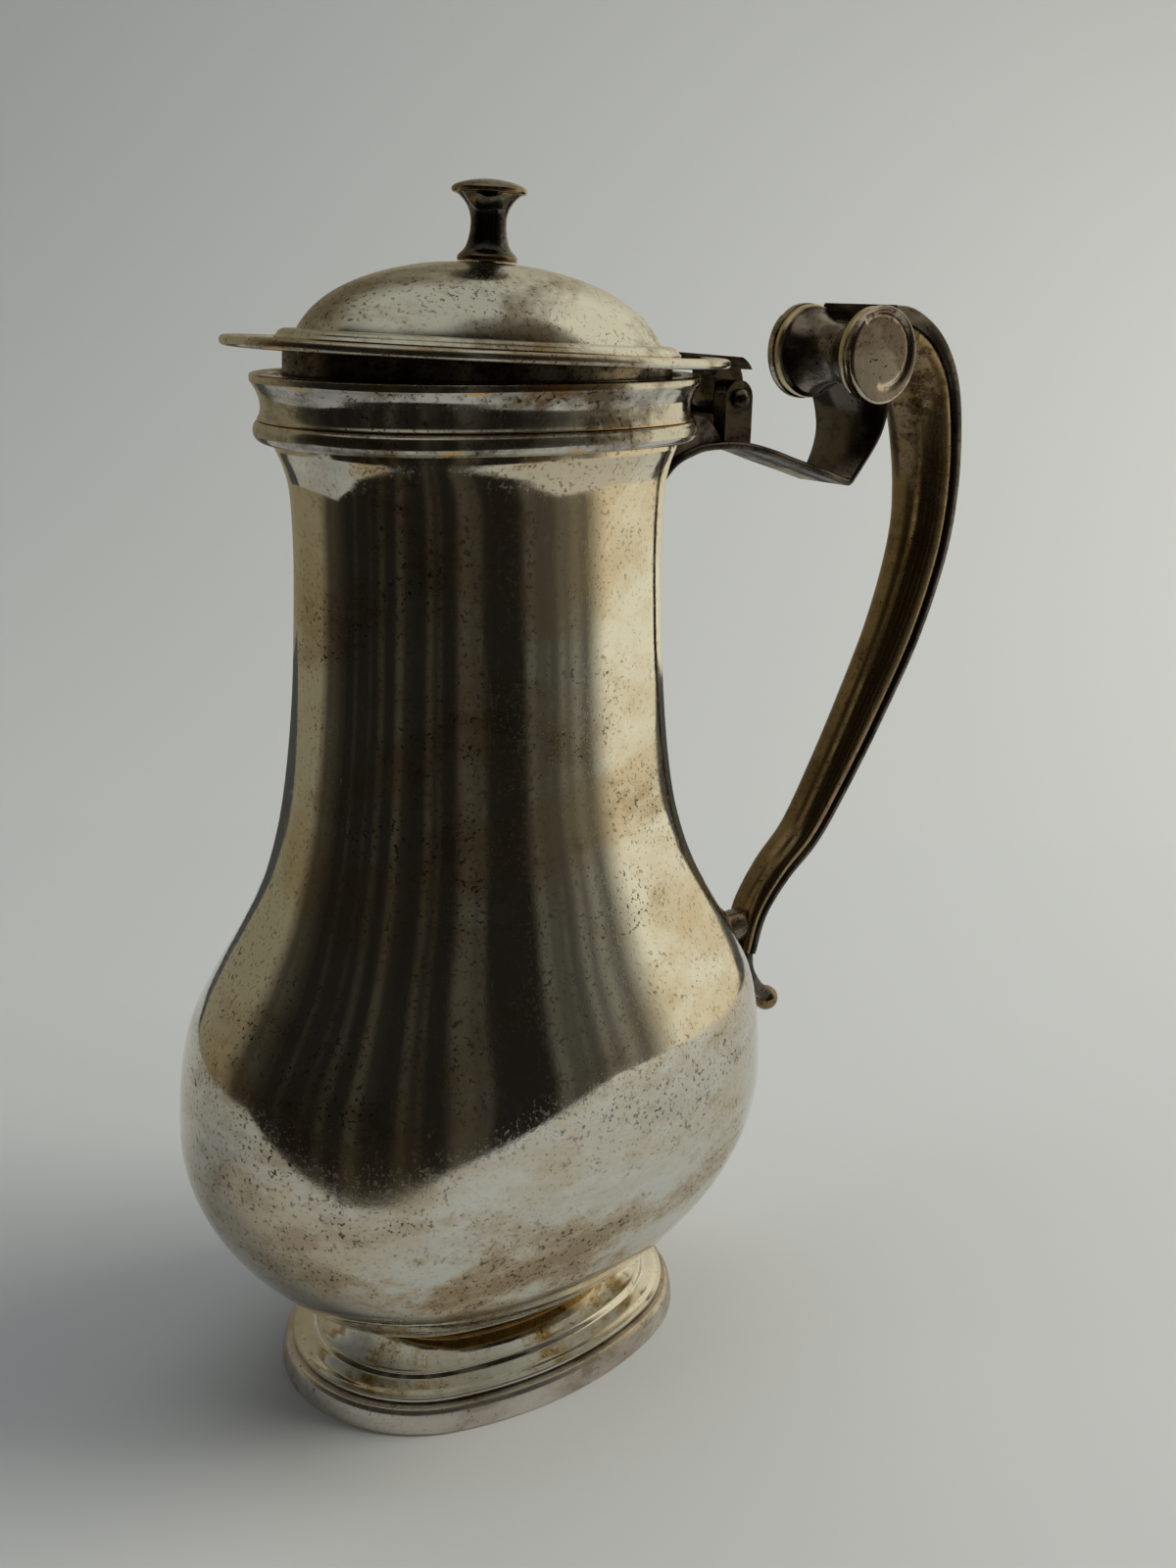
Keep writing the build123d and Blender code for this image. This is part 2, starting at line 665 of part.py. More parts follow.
os.makedirs("parts", exist_ok=True)
for name, piece in pieces.items():
    shape = piece.part
    if name in lid_pieces:
        shape = shape.rotate(hinge_axis, lid_ajar)
    shape.label = name
    export_step(shape, "parts/" + name + ".step")
    box = shape.bounding_box()
    print(name, len(shape.solids()), shape.is_valid, round(shape.volume, 1),
          [round(v, 1) for v in (box.min.X, box.min.Y, box.min.Z, box.max.X, box.max.Y, box.max.Z)])
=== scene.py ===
import math

import bpy
from mathutils import Matrix, Vector, noise


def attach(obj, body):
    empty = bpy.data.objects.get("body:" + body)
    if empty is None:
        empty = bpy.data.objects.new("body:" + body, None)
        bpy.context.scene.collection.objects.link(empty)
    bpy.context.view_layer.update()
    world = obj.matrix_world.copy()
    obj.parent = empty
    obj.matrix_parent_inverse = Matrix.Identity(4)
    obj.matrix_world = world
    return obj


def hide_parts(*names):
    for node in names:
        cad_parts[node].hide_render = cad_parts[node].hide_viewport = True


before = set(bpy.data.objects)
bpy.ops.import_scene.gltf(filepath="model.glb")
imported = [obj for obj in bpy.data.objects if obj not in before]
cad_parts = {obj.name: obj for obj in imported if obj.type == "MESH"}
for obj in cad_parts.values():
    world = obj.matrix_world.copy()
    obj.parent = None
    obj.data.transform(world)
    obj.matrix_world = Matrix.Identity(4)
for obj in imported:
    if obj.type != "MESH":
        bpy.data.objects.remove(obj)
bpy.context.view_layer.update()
mm = 0.001
print("frame loaded", len(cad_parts), "nodes")


# Points round an oval of four arcs, from the handle side, in millimetres
def ovalPoints(halfLength, halfWidth, endRadius, height, endSteps, sideSteps):
    side = ((halfLength ** 2 + halfWidth ** 2) / 2 - halfLength * endRadius) / (halfWidth - endRadius)
    turn = math.atan2(side - halfWidth, halfLength - endRadius)
    arcs = ((halfLength - endRadius, 0, endRadius, 0, turn, endSteps),
            (0, halfWidth - side, side, turn, math.pi - turn, 2 * sideSteps),
            (endRadius - halfLength, 0, endRadius, math.pi - turn, math.pi + turn, 2 * endSteps),
            (0, side - halfWidth, side, math.pi + turn, 2 * math.pi - turn, 2 * sideSteps),
            (halfLength - endRadius, 0, endRadius, -turn, 0, endSteps))
    points = []
    for centreX, centreY, radius, start, stop, steps in arcs:
        for i in range(steps):
            angle = start + (stop - start) * i / steps
            points.append(Vector((centreX + radius * math.cos(angle),
                                  centreY + radius * math.sin(angle), height)))
    return points


# Smooth curve through a few points, by equal parts of its parameter
def smoothCurve(points, steps):
    points = [Vector(p) for p in points]
    ends = [2 * points[0] - points[1]] + points + [2 * points[-1] - points[-2]]
    spans = len(points) - 1
    result = []
    for i in range(steps + 1):
        t = spans * i / steps
        k = min(int(t), spans - 1)
        t -= k
        a, b, c, d = ends[k:k + 4]
        result.append(0.5 * (2 * b + (c - a) * t + (2 * a - 5 * b + 4 * c - d) * t ** 2
                             + (3 * b - a - 3 * c + d) * t ** 3))
    return result


# A closed outline with every corner rounded
def roundedLoop(corners, radius, steps=4):
    corners = [Vector(c) for c in corners]
    loop = []
    for i, corner in enumerate(corners):
        before, after = corners[i - 1] - corner, corners[(i + 1) % len(corners)] - corner
        reach = min(radius, before.length * 0.45, after.length * 0.45)
        start, stop = corner + before.normalized() * reach, corner + after.normalized() * reach
        for k in range(steps + 1):
            t = k / steps
            loop.append(start * (1 - t) ** 2 + corner * 2 * t * (1 - t) + stop * t ** 2)
    return loop


# Mesh object from rings of points in millimetres; loop joins the last ring to the first, and
# otherwise both ends are closed
def skin(name, rings, material, loop=False, sharp=50):
    count = len(rings[0])
    vertices = [p * mm for ring in rings for p in ring]
    faces = []
    spans = len(rings) if loop else len(rings) - 1
    for i in range(spans):
        low, high = i * count, (i + 1) % len(rings) * count
        for k in range(count):
            n = (k + 1) % count
            faces.append((low + k, low + n, high + n, high + k))
    if not loop:
        faces.append(tuple(reversed(range(count))))
        faces.append(tuple(range((len(rings) - 1) * count, len(rings) * count)))
    mesh = bpy.data.meshes.new(name)
    mesh.from_pydata(vertices, [], faces)
    mesh.polygons.foreach_set("use_smooth", [True] * len(mesh.polygons))
    mesh.set_sharp_from_angle(angle=math.radians(sharp))
    mesh.materials.append(material)
    piece = bpy.data.objects.new(name, mesh)
    bpy.context.scene.collection.objects.link(piece)
    return piece


# Hides the frame node that a finished piece replaces and sets what the piece moves with
def settle(piece, node, body):
    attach(piece, body)
    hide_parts(node)


# Small dents of hand-raised sheet, always inward from the true surface
def dented(point, depth, size, seed=0.0):
    wave = noise.noise(point / size + Vector((seed, seed, seed)))
    return depth * (0.5 + 0.5 * wave)


def toLinear(hexColour):
    channels = [int(hexColour[i:i + 2], 16) / 255 for i in (0, 2, 4)]
    return [c / 12.92 if c <= 0.04045 else ((c + 0.055) / 1.055) ** 2.4 for c in channels] + [1.0]


# Adds a node with its settings and its links
def addNode(tree, kind, settings=None, links=None):
    node = tree.nodes.new(kind)
    for key, value in (settings or {}).items():
        if isinstance(key, str) and hasattr(node, key):
            setattr(node, key, value)
        else:
            node.inputs[key].default_value = value
    for key, source in (links or {}).items():
        tree.links.new(source, node.inputs[key])
    return node


# Sheet metal with tarnish in patches, pits, wipe marks, worn edges and painted shade in its hollows
def agedMetal(name, look):
    material = bpy.data.materials.new(name)
    material.use_nodes = True
    tree = material.node_tree
    shader = tree.nodes["Principled BSDF"]
    place = addNode(tree, "ShaderNodeTexCoord").outputs["Object"]
    height = addNode(tree, "ShaderNodeSeparateXYZ", None, {0: place}).outputs[2]

    spread = addNode(tree, "ShaderNodeMapping", {"Scale": look["stretch"]}, {"Vector": place}).outputs[0]
    clouds = addNode(tree, "ShaderNodeTexNoise",
                     {"Scale": 1000 / look["patchMm"], "Detail": 10.0, "Roughness": 0.68, "Distortion": 0.3},
                     {"Vector": spread}).outputs["Fac"]
    film = addNode(tree, "ShaderNodeMapRange",
                   {"From Min": 0.5 - look["soft"], "From Max": 0.5 + look["soft"]},
                   {"Value": clouds}).outputs[0]
    film = addNode(tree, "ShaderNodeMath", {"operation": "MULTIPLY", 1: look["tarnishShare"]},
                   {0: film}).outputs[0]
    blotches = addNode(tree, "ShaderNodeTexNoise",
                       {"Scale": 1700 / look["patchMm"], "Detail": 9.0, "Roughness": 0.75},
                       {"Vector": spread}).outputs["Fac"]
    for full, none, share in look["bands"]:  # heights with more film than the rest
        band = addNode(tree, "ShaderNodeMapRange",
                       {"From Min": none * mm, "From Max": full * mm, "To Max": share},
                       {"Value": height}).outputs[0]
        broken = addNode(tree, "ShaderNodeMapRange", {"From Min": 0.46, "From Max": 0.54},
                         {"Value": blotches}).outputs[0]
        band = addNode(tree, "ShaderNodeMath", {"operation": "MULTIPLY"}, {0: band, 1: broken}).outputs[0]
        film = addNode(tree, "ShaderNodeMath", {"operation": "MAXIMUM"}, {0: film, 1: band}).outputs[0]
    colour = addNode(tree, "ShaderNodeMix",
                     {"data_type": "RGBA", 6: toLinear(look["metal"]), 7: toLinear(look["tarnish"])},
                     {0: film}).outputs[2]
    stain = addNode(tree, "ShaderNodeMapRange", {"From Min": 0.53, "From Max": 0.60, "To Max": 0.8},
                    {"Value": blotches}).outputs[0]
    stain = addNode(tree, "ShaderNodeMath", {"operation": "MULTIPLY"}, {0: stain, 1: film}).outputs[0]
    colour = addNode(tree, "ShaderNodeMix", {"data_type": "RGBA", 7: toLinear(look["stain"])},
                     {0: stain, 6: colour}).outputs[2]

    specks = addNode(tree, "ShaderNodeTexNoise",
                     {"Scale": 1000 / look["pitMm"], "Detail": 3.0, "Roughness": 0.6},
                     {"Vector": place}).outputs["Fac"]
    pits = addNode(tree, "ShaderNodeMapRange",
                   {"From Min": 0.66 - look["pitShare"], "From Max": 0.70 - look["pitShare"]},
                   {"Value": specks}).outputs[0]
    where = addNode(tree, "ShaderNodeMapRange", {"From Min": 0.44, "From Max": 0.64, "To Min": 0.08},
                    {"Value": blotches}).outputs[0]
    where = addNode(tree, "ShaderNodeMath", {"operation": "MAXIMUM"}, {0: where, 1: film}).outputs[0]
    pits = addNode(tree, "ShaderNodeMath", {"operation": "MULTIPLY"}, {0: pits, 1: where}).outputs[0]
    colour = addNode(tree, "ShaderNodeMix", {"data_type": "RGBA", 7: toLinear(look["pitAndShade"])},
                     {0: pits, 6: colour}).outputs[2]

    if look["edgeWear"] or look["hollowShade"]:
        bend = addNode(tree, "ShaderNodeNewGeometry").outputs["Pointiness"]
        worn = addNode(tree, "ShaderNodeMapRange",
                       {"From Min": 0.51, "From Max": 0.56, "To Max": look["edgeWear"]},
                       {"Value": bend}).outputs[0]
        colour = addNode(tree, "ShaderNodeMix", {"data_type": "RGBA", 7: toLinear(look["edge"])},
                         {0: worn, 6: colour}).outputs[2]
        # Painted shade: concave spots take the dark pit colour, as if shade fell in the hollows
        hollowShadeMask = addNode(tree, "ShaderNodeMapRange",
                       {"From Min": 0.49, "From Max": 0.44, "To Max": look["hollowShade"]},
                       {"Value": bend}).outputs[0]
        colour = addNode(tree, "ShaderNodeMix", {"data_type": "RGBA", 7: toLinear(look["pitAndShade"])},
                         {0: hollowShadeMask, 6: colour}).outputs[2]

    wiped = addNode(tree, "ShaderNodeMapping", {"Scale": look["wipeStretch"]},
                    {"Vector": place}).outputs[0]
    lines = addNode(tree, "ShaderNodeTexNoise",
                    {"Scale": 1000 / look["scratchMm"], "Detail": 3.0, "Roughness": 0.7},
                    {"Vector": wiped}).outputs["Fac"]
    lines = addNode(tree, "ShaderNodeMapRange",
                    {"From Min": 0.58, "From Max": 0.72, "To Max": look["scratch"]},
                    {"Value": lines}).outputs[0]
    smooth, dull = look["rough"]
    rough = addNode(tree, "ShaderNodeMapRange",
                    {"From Min": 0.3, "From Max": 0.7, "To Min": smooth, "To Max": dull},
                    {"Value": clouds}).outputs[0]
    rough = addNode(tree, "ShaderNodeMath", {"operation": "ADD"}, {0: rough, 1: lines}).outputs[0]
    rough = addNode(tree, "ShaderNodeMath", {"operation": "MULTIPLY_ADD", 1: look["filmDull"]},
                    {0: film, 2: rough}).outputs[0]
    rough = addNode(tree, "ShaderNodeMath", {"operation": "MULTIPLY_ADD", 1: look["pitDull"]},
                    {0: pits, 2: rough}).outputs[0]

    swell = addNode(tree, "ShaderNodeTexNoise", {"Scale": 1000 / look["waveSizeMm"], "Detail": 2.0},
                    {"Vector": place}).outputs["Fac"]
    waves = addNode(tree, "ShaderNodeBump", {"Strength": 0.5, "Distance": look["waveMm"] * mm},
                    {"Height": swell})
    relief = addNode(tree, "ShaderNodeMath", {"operation": "SUBTRACT"}, {0: specks, 1: pits}).outputs[0]
    grit = addNode(tree, "ShaderNodeBump", {"Strength": 0.6, "Distance": look["gritMm"] * mm},
                   {"Height": relief, "Normal": waves.outputs[0]})
    shader.inputs["Metallic"].default_value = look["metallic"]
    tree.links.new(colour, shader.inputs["Base Color"])
    tree.links.new(rough, shader.inputs["Roughness"])
    tree.links.new(grit.outputs[0], shader.inputs["Normal"])
    return material


# Old silver plate: soft mirror, with brown film low on the belly and under the rim
bodyPlate = {"metal": "DAD9D0", "tarnish": "B3924E", "stain": "74552B", "pitAndShade": "3A2C1C", "edge": "C79B58",
             "patchMm": 34, "soft": 0.06, "stretch": (0.6, 0.6, 1.0), "tarnishShare": 0.45,
             "bands": ((14, 74, 0.95), (180, 160, 0.8)), "pitMm": 0.8, "pitShare": 0.08,
             "edgeWear": 0.0, "hollowShade": 0.0, "scratchMm": 0.8, "scratch": 0.10, "rough": (0.02, 0.08),
             "wipeStretch": (1.0, 0.7, 0.05), "filmDull": 0.12, "pitDull": 0.3, "waveMm": 0.5,
             "waveSizeMm": 42, "gritMm": 0.012, "metallic": 1.0}
# The same plate on the lid, greyer, with a brown bloom and painted shade in its hollows
lidPlate = dict(bodyPlate, metal="CBCBC4", tarnish="75654C", patchMm=18, tarnishShare=0.75, bands=(),
                rough=(0.06, 0.22), edge="D1A660", edgeWear=0.8, hollowShade=0.6, waveMm=0.3, waveSizeMm=26)
# Rim moulding, plate worn through to brass along its edges
rimPlate = dict(lidPlate, metal="C4C0B6", tarnish="4E4130", edgeWear=0.9, tarnishShare=0.9)
# Foot, brighter and cleaner, with painted shade as dark lines in its hollows
footPlate = dict(lidPlate, metal="E2E0D8", tarnish="A8987A", stain="7A6038", tarnishShare=0.25, patchMm=16,
                 edgeWear=0.1, hollowShade=0.9, rough=(0.02, 0.10), pitShare=0.03)
# Band at the very bottom, scuffed dull
bandPlate = dict(footPlate, metal="DCD5CB", tarnish="A39382", tarnishShare=0.5, rough=(0.24, 0.40))
# Handle back and strap, dark sulphide film over plate, edges rubbed pale
darkPlate = dict(lidPlate, metal="857B70", tarnish="332A24", stain="1E1815", pitAndShade="1C1612", patchMm=15,
                 tarnishShare=0.9, edge="DCCBA4", edgeWear=0.8, rough=(0.10, 0.28))
# The same dark plate on small forged fittings
fittingPlate = dict(darkPlate, metal="74685A", patchMm=6, edgeWear=0.0, hollowShade=0.0)
# Grip channel, brown film with dull gold where it is rubbed
gripPlate = dict(lidPlate, metal="A08A68", tarnish="33271D", stain="5A4424", pitAndShade="1C1510", patchMm=14,
                 soft=0.2, tarnishShare=0.7, edge="A88F5E", edgeWear=0.3, bands=((190, 128, 0.95),),
                 rough=(0.06, 0.24))
# Volute ends, pale worn plate with dark pitting
volutePlate = dict(lidPlate, metal="B9AEA0", tarnish="5E4C3E", pitAndShade="2A211B", patchMm=8, pitMm=1.1,
                   pitShare=0.09, tarnishShare=0.65, edgeWear=0.0, hollowShade=0.0)
# Bare turned brass
turnedBrass = dict(lidPlate, metal="D0A864", tarnish="6B4A26", patchMm=8, tarnishShare=0.5,
                   edgeWear=0.0, hollowShade=0.0, rough=(0.2, 0.4))
# Dark polished knob
knobPlate = dict(darkPlate, metal="7D7973", tarnish="1E1A18", patchMm=8, edge="C79F5C", edgeWear=0.9,
                 rough=(0.03, 0.10), tarnishShare=0.8)
# Dull lead solder, lumpy and matt
greySolder = dict(darkPlate, metal="5E554C", tarnish="2E2721", patchMm=4, edgeWear=0.0, hollowShade=0.0,
                  rough=(0.45, 0.7), metallic=0.7, gritMm=0.1)

bodyMetal = agedMetal("silver_plate_body", bodyPlate)
lidMetal = agedMetal("silver_plate_lid", lidPlate)
rimMetal = agedMetal("silver_plate_rim", rimPlate)
footMetal = agedMetal("silver_plate_foot", footPlate)
bandMetal = agedMetal("scuffed_plate_band", bandPlate)
darkMetal = agedMetal("tarnished_plate", darkPlate)
fittingMetal = agedMetal("dark_plate_fittings", fittingPlate)
gripMetal = agedMetal("rubbed_plate_grip", gripPlate)
voluteMetal = agedMetal("pitted_plate_volute", volutePlate)
brassMetal = agedMetal("turned_brass", turnedBrass)
knobMetal = agedMetal("dark_knob_plate", knobPlate)
solderMetal = agedMetal("lead_solder", greySolder)
print("materials made")


# Body: one raised sheet, belly to mouth; the profile gives half lengths and heights
body = {"profile": ((28.0, 13.05), (32.4, 16), (40.2, 20), (46.6, 26), (51.8, 32), (55.6, 38),
                    (58.4, 44.5), (59.9, 52), (59.7, 60), (58.8, 68), (57.2, 74.5), (54.5, 80),
                    (50.9, 86), (47.2, 92), (43.9, 98), (41.2, 104.5), (38.8, 113), (37.0, 124),
                    (35.7, 137), (35.0, 150), (34.7, 160), (35.0, 170), (35.9, 174.6), (37.3, 178.0)),
        "ratio": 0.715, "fullness": 0.6578, "wall": 1.2, "neck": 37.35, "neckFoot": 180, "collarTop": 184,
        "mouthTop": 189.4, "floor": 14.4, "floorHalfLength": 28.0, "floorInset": 2.5,
        "dentMm": 0.22, "dentSizeMm": 24, "endSteps": 26, "sideSteps": 22, "steps": 150}


def bodyRing(halfLength, height, inset):
    ring = ovalPoints(halfLength - inset, halfLength * body["ratio"] - inset,
                      halfLength * body["fullness"] - inset, height, body["endSteps"], body["sideSteps"])
    for point in ring:
        push = dented(point, body["dentMm"], body["dentSizeMm"])
        flat = Vector((point.x, point.y, 0)).normalized()
        point -= flat * push
    return ring


line = smoothCurve([(a, 0, z) for a, z in body["profile"]], body["steps"])
outer = [bodyRing(p.x, p.z, 0) for p in line]
outer += [bodyRing(body["neck"], height, 0) for height in (body["collarTop"], body["mouthTop"])]
inner = [bodyRing(body["neck"], height, body["wall"]) for height in (body["mouthTop"], body["neckFoot"])]
inner += [bodyRing(p.x, p.z, body["wall"]) for p in reversed(line) if p.z > body["floor"] + 1]
inner.append(bodyRing(body["floorHalfLength"], body["floor"], body["floorInset"]))
settle(skin("body_sheet", outer + inner, bodyMetal), "body_shell", "jug")


# Moulding: a rounded outline carried round an oval at an even distance
def moulding(name, oval, outline, rounding, material, node, ridesOn):
    loop = roundedLoop([(off, 0, z) for off, z in outline], rounding)
    rings = [ovalPoints(oval["halfLength"] + p.x, oval["halfWidth"] + p.x, oval["endRadius"] + p.x,
                        p.z, body["endSteps"], body["sideSteps"]) for p in loop]
    if ridesOn == "lid":
        rings = [[lidTurn @ p for p in ring] for ring in rings]
    settle(skin(name, rings, material, loop=True, sharp=40), node, ridesOn)


# The lid stands a little open, turned about the hinge pin
hinge = {"x": 54.0, "z": 185.0, "ajarDegrees": 2.3}
toPin = Matrix.Translation((hinge["x"], 0, hinge["z"]))
lidTurn = toPin @ Matrix.Rotation(math.radians(hinge["ajarDegrees"]), 4, "Y") @ toPin.inverted()

# Ovals that the mouldings follow; outlines are offsets from them, with heights above the table
neckOval = {"halfLength": 37.4, "halfWidth": 26.74, "endRadius": 24.6}
footOval = {"halfLength": 42.5, "halfWidth": 30.8, "endRadius": 28.34}
flangeOval = {"halfLength": 45.8, "halfWidth": 35.1, "endRadius": 32.9}
bezelOval = {"halfLength": 35.6, "halfWidth": 24.9, "endRadius": 22.8}

# Rim band: flared lip over a hollow
rimBand = ((0.04, 182.62), (2.6, 182.62), (2.1, 183.4), (1.85, 184.6), (2.0, 186.0), (2.5, 187.4),
           (3.1, 188.4), (3.5, 188.9), (3.5, 190.0), (2.9, 190.2), (0.04, 190.2))
moulding("rim_moulding", neckOval, rimBand, 0.35, rimMetal, "rim_band", "jug")

# Bead under the lip, its lower edge rubbed to brass
rimBead = ((0.04, 178.9), (1.9, 179.0), (2.6, 179.4), (3.15, 180.2), (3.25, 181.1), (3.05, 181.9),
           (2.5, 182.55), (0.04, 182.55))
moulding("rim_bead_wire", neckOval, rimBead, 0.3, rimMetal, "rim_bead", "jug")

# Foot: hollow cove, fillet, step and ridge in one piece
footCove = ((-14.2, 12.15), (-13.0, 11.5), (-11.2, 10.4), (-9.4, 9.5), (-7.8, 8.9), (-7.0, 8.75),
            (-6.6, 8.3), (-6.3, 7.7), (-5.3, 7.45), (-4.0, 7.1), (-3.2, 6.7), (-2.3, 6.5), (-2.2, 6.0),
            (-2.5, 5.5), (-3.2, 5.25), (-5.2, 5.25), (-9.6, 7.5), (-13.8, 8.4), (-15.4, 12.15))
moulding("foot_moulding", footOval, footCove, 0.3, footMetal, "foot_cove", "jug")

# Band that the jug stands on, flaring to a worn bottom edge
footBand = ((-3.4, 0.0), (-0.5, 0.0), (-0.05, 0.4), (-0.1, 1.4), (-0.35, 3.0), (-0.7, 4.3),
            (-1.3, 5.15), (-4.5, 5.15), (-4.5, 3.8))
moulding("foot_band", footOval, footBand, 0.3, bandMetal, "foot_base_band", "jug")

# Flange of the lid with a low roll along its edge
lidFlange = ((-10.9, 190.6), (-1.0, 190.6), (-0.3, 190.8), (-0.02, 191.5), (-0.3, 192.2), (-1.0, 192.4),
             (-1.9, 192.35), (-2.5, 192.02), (-3.2, 192.0), (-10.9, 192.0))
moulding("lid_flange_sheet", flangeOval, lidFlange, 0.3, lidMetal, "lid_flange", "lid")

# Stepped moulding between the flange and the dome
lidStep = ((-12.05, 192.05), (-8.9, 192.05), (-8.75, 192.5), (-9.3, 192.9), (-9.5, 193.4),
           (-10.3, 193.8), (-11.3, 193.9), (-12.05, 193.9))
moulding("lid_step_moulding", flangeOval, lidStep, 0.25, lidMetal, "lid_step", "lid")

# Bezel ring that drops inside the mouth
lidBezel = ((-1.0, 185.8), (0.0, 185.8), (0.0, 190.55), (-1.0, 190.55))
moulding("lid_bezel_ring", bezelOval, lidBezel, 0.2, fittingMetal, "lid_bezel", "lid")

# Dome: raised sheet, rings shrink to the knob's seat
dome = {"halfLength": 33.7, "halfWidth": 23.1, "endRadius": 20.9, "foot": 192.05, "top": 206.15,
        "shares": ((1.0, 0.0), (0.995, 0.09), (0.965, 0.22), (0.90, 0.40), (0.80, 0.58), (0.66, 0.745),
                   (0.50, 0.87), (0.33, 0.955), (0.18, 0.99), (0.08, 1.0)), "wall": 1.1, "rounding": 0.25,
        "innerStop": 0.14, "leastRadius": 0.3, "dentMm": 0.15, "dentSizeMm": 16, "dentSeed": 3.0,
        "endSteps": 20, "sideSteps": 16, "steps": 54}


def domeRing(share, level, inset):
    width = dome["halfWidth"] * ((1 - dome["rounding"]) * share + dome["rounding"] * share ** 0.5)
    height = dome["foot"] + (dome["top"] - inset - dome["foot"]) * level
    endRadius = max(dome["endRadius"] * share - inset, dome["leastRadius"])
    ring = ovalPoints(dome["halfLength"] * share - inset, width - inset, endRadius, height,
                      dome["endSteps"], dome["sideSteps"])
    dents = [dented(p, dome["dentMm"], dome["dentSizeMm"], dome["dentSeed"]) * level for p in ring]
    return [lidTurn @ (p - Vector((0, 0, dent))) for p, dent in zip(ring, dents)]


curve = smoothCurve([(s, 0, z) for s, z in dome["shares"]], dome["steps"])
rings = [domeRing(p.x, p.z, 0) for p in curve]
rings += [domeRing(p.x, p.z, dome["wall"]) for p in reversed(curve) if p.x > dome["innerStop"]]
settle(skin("lid_dome_sheet", rings, lidMetal, loop=True), "lid_dome", "lid")
print("body, rim, foot and lid made")


# A turned piece: outline of radius and height, spun about its own axis
def turned(name, outline, material, place, steps=64):
    rings = []
    for radius, height in outline:
        radius = max(radius, 0.02)  # a ring at the axis keeps a little width
        ring = [Vector((radius * math.cos(2 * math.pi * i / steps),
                        radius * math.sin(2 * math.pi * i / steps), height)) for i in range(steps)]
        rings.append([place @ p for p in ring])
    return skin(name, rings, material, sharp=40)


# Knob: base flange, waist and cup under the cap
knob = ((5.0, 206.25), (5.15, 206.5), (5.1, 207.0), (4.7, 207.5), (4.1, 208.1), (3.6, 209.0), (3.2, 210.5),
        (3.02, 212.1), (3.1, 213.4), (3.5, 214.7), (4.2, 215.8), (5.0, 216.6), (5.55, 216.97))
stud = ((1.45, 200.1), (1.45, 206.24))
knobPiece = turned("knob_turning", [(p.x, p.z) for p in smoothCurve([(r, 0, z) for r, z in knob], 48)],
                   knobMetal, lidTurn)
studPiece = turned("knob_stud", stud, brassMetal, lidTurn)
studPiece.parent = knobPiece
settle(knobPiece, "finial_knob", "lid")

# Cap: low dome whose rim has worn to brass
cap = ((5.6, 217.02), (6.1, 217.1), (6.38, 217.45), (6.3, 217.9), (5.8, 218.3), (4.8, 218.7),
       (3.4, 219.05), (1.8, 219.3), (0.6, 219.38), (0.0, 219.39))
capPiece = turned("knob_cap", [(p.x, p.z) for p in smoothCurve([(r, 0, z) for r, z in cap], 36)],
                  knobMetal, lidTurn)
settle(capPiece, "finial_cap", "lid")

# Volute: waisted spool with a thick flange at each end, closed by two plates
volute = {"x": 88.2, "z": 192.8, "radius": 9.6, "half": 12.0, "plate": 1.8, "flange": 2.4, "waist": 6.0,
          "rounding": 0.7, "curlMm": 1.1, "depthMm": 0.8, "curlFrom": 130, "curlSweep": 235, "curlIn": 3.0,
          "gap": 0.02, "inset": 0.2, "eye": 0.05, "ringEase": 0.9, "coreSteps": 14, "rings": 44, "steps": 120}
acrossY = Matrix.Translation((volute["x"], 0, volute["z"])) @ Matrix.Rotation(math.radians(90), 4, "X")
inside = volute["half"] - volute["plate"] - volute["gap"]
flat, rim = inside - volute["flange"], volute["radius"] - volute["inset"]
swell = rim - volute["rounding"] - volute["waist"]
coreSteps = volute["coreSteps"]
hollow = [(volute["waist"] + swell * (k / coreSteps) ** 2, flat * k / coreSteps)
          for k in range(-coreSteps, coreSteps + 1)]
drum = [(rim - 0.3, flat + 0.15), (rim, flat + 0.6), (rim, inside - 0.4), (rim - 0.2, inside)]
spool = [(radius, -along) for radius, along in reversed(drum)] + hollow + drum
settle(turned("volute_spool", spool, darkMetal, acrossY), "volute_core", "jug")


# Depth of an end plate's face: one curl runs in from the bar and dies out below the eye
def curlHeight(radius, angle):
    swept = (math.radians(volute["curlFrom"]) - angle) % (2 * math.pi) / math.radians(volute["curlSweep"])
    rounding, shoulder = volute["rounding"], volute["radius"] - volute["rounding"]
    height = 0.0
    if swept <= 1:
        gap = abs(radius - (shoulder - volute["curlIn"] * swept)) / (volute["curlMm"] / 2)
        height = -volute["depthMm"] * (1 - swept ** 3) * math.exp(-gap ** 2)
    if radius > shoulder:
        height -= rounding - math.sqrt(max(0.0, rounding ** 2 - (radius - shoulder) ** 2))
    return height


for side, label in ((-1, "near"), (1, "far")):
    rings = []
    base = side * (volute["half"] - volute["plate"])
    for k in range(volute["rings"] + 1):
        share = (k / volute["rings"]) ** volute["ringEase"]
        radius = volute["eye"] + (volute["radius"] - volute["eye"]) * share
        ring = []
        for i in range(volute["steps"]):
            angle = side * 2 * math.pi * i / volute["steps"]
            lift = curlHeight(radius, angle)
            ring.append(Vector((volute["x"] + radius * math.cos(angle), side * (volute["half"] + lift),
                                volute["z"] + radius * math.sin(angle))))
        rings.append(ring)
    rings.append([Vector((p.x, base, p.z)) for p in rings[-1]])
    plate = skin("volute_" + label + "_scroll", rings, voluteMetal, sharp=60)
    settle(plate, "volute_" + label + "_end", "jug")

